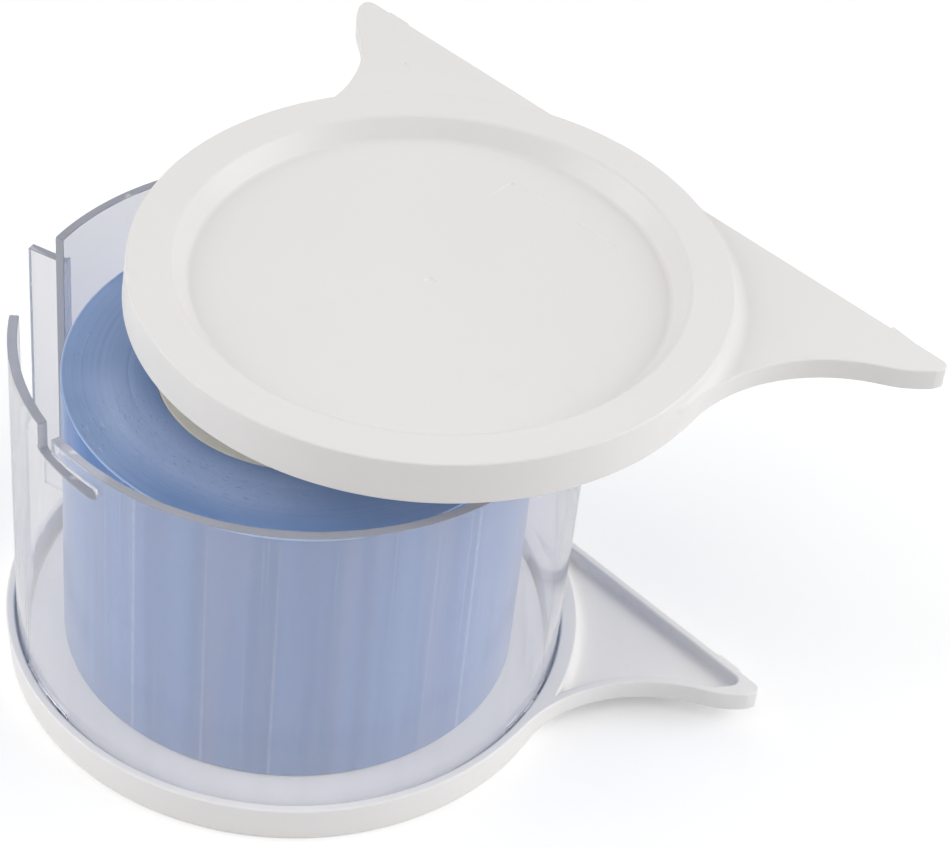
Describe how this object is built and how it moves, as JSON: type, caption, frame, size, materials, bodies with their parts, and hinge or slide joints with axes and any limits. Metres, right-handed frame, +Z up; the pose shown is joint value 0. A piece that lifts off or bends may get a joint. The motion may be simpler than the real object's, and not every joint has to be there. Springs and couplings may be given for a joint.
{
  "type": "cling film dispenser",
  "caption": "Round dispenser for a narrow film roll: two eared end plates, a clear twist-lock tube with a film opening, and a blue roll on a card core; lid resting off-centre.",
  "frame": {"origin": "bottom centre of the whole assembly's box, on the surface that the base plate stands on", "axes": "+Z up along the roll axis, +Y towards the straight edges of the end plates, +X from ear tip to ear tip"},
  "size_m": [0.2738, 0.224, 0.1513],
  "materials": {
    "white_plastic": "satin moulded plastic with a fine pebble",
    "clear_acrylic": "clear polished sheet, bright cut edges",
    "blue_film": "tightly wound glossy film",
    "core_board": "matte spiral-wound paperboard"
  },
  "bodies": {
    "base": {"base_plate": "white_plastic", "base_core_hub": "white_plastic"},
    "shroud": {"shroud_tube": "clear_acrylic", "film_guide_strip": "clear_acrylic"},
    "roll": {"film_roll": "blue_film", "roll_core": "core_board"},
    "lid": {"lid_plate": "white_plastic", "lid_core_hub": "white_plastic"}
  },
  "joints": [
    {"name": "shroud_twist", "type": "hinge", "parent": "base", "child": "shroud", "pos_m": [-0.00824, -0.01851, 0.0033], "axis": [0, 0, 1], "range_deg": [-7, 6.2]},
    {"name": "roll_spin", "type": "hinge", "parent": "base", "child": "roll", "pos_m": [-0.00824, -0.01851, 0.0103], "axis": [0, 0, 1], "continuous": true},
    {"name": "lid_lift", "type": "slide", "parent": "base", "child": "lid", "axis": [0, 0, 1], "range_m": [0, 0.08]}
  ]
}
